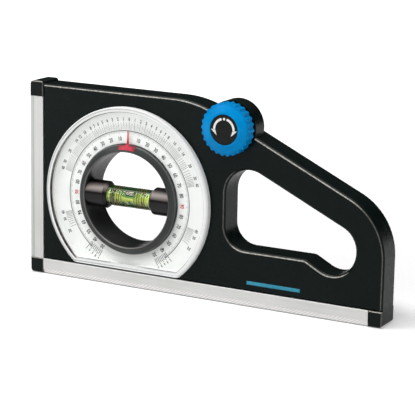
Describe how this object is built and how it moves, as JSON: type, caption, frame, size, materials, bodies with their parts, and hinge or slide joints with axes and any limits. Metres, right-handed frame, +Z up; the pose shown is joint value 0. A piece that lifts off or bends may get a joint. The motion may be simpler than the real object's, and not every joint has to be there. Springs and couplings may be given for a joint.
{
  "type": "angle finder",
  "caption": "Dial angle finder with aluminium base and side rail, hand hole, graduated dial and a vial in a ring that a geared thumb knob turns.",
  "frame": {"origin": "centre of the base rail's lower reference face", "axes": "+X along the base to the end with the hand hole, +Y to the rear away from the dial, +Z up"},
  "size_m": [0.2, 0.0228, 0.1025],
  "materials": {
    "shell_black": "semi-gloss moulded",
    "rail_silver": "satin anodised",
    "cap_black": "semi-gloss moulded",
    "strip_blue": "gloss",
    "plate_white": "satin printed",
    "cover_clear": "polished clear",
    "ring_black": "semi-gloss moulded",
    "pointer_red": "gloss",
    "gear_cream": "satin",
    "vial_clear": "polished clear",
    "vial_liquid": "clear liquid",
    "plug_dark": "satin",
    "steel": "satin",
    "screw_black": "black zinc",
    "knob_blue": "gloss",
    "disc_black": "printed gloss",
    "felt_dark": "matt"
  },
  "bodies": {
    "housing": {"front_shell": "shell_black", "rear_shell": "shell_black", "base_rail": "rail_silver", "side_rail": "rail_silver", "corner_cap": "cap_black", "top_cap": "cap_black", "end_cap": "cap_black", "trim_strip": "strip_blue", "dial_plate": "plate_white", "dial_cover": "cover_clear", "idler_pin": "steel", "housing_screw_1": "screw_black", "housing_screw_2": "screw_black", "housing_screw_3": "screw_black", "housing_screw_4": "screw_black", "housing_screw_5": "screw_black", "housing_screw_6": "screw_black"},
    "ring": {"vial_ring": "ring_black", "pointer": "pointer_red", "ring_gear": "gear_cream", "rear_ring": "ring_black", "holder_left": "ring_black", "holder_right": "ring_black", "vial_tube": "vial_clear", "vial_liquid": "vial_liquid", "vial_plug_left": "plug_dark", "vial_plug_right": "plug_dark"},
    "idler": {"idler_gear": "gear_cream"},
    "knob": {"knob_spindle": "gear_cream", "knob": "knob_blue", "knob_disc": "disc_black", "knob_screw": "steel", "knob_clip": "steel", "friction_ring": "felt_dark"}
  },
  "joints": [
    {"name": "ring_turn", "type": "hinge", "parent": "housing", "child": "ring", "pos_m": [-0.04048, 0, 0.04618], "axis": [0, 1, 0], "continuous": true},
    {"name": "idler_turn", "type": "hinge", "parent": "housing", "child": "idler", "pos_m": [-0.00419, 0, 0.0776], "axis": [0, 1, 0], "continuous": true},
    {"name": "knob_turn", "type": "hinge", "parent": "housing", "child": "knob", "pos_m": [0.01744, 0, 0.0891], "axis": [0, 1, 0], "continuous": true}
  ],
  "couplings": [
    {"joint": "idler_turn", "follows": "ring_turn", "ratio": -1.8235},
    {"joint": "knob_turn", "follows": "ring_turn", "ratio": 4.1333}
  ]
}
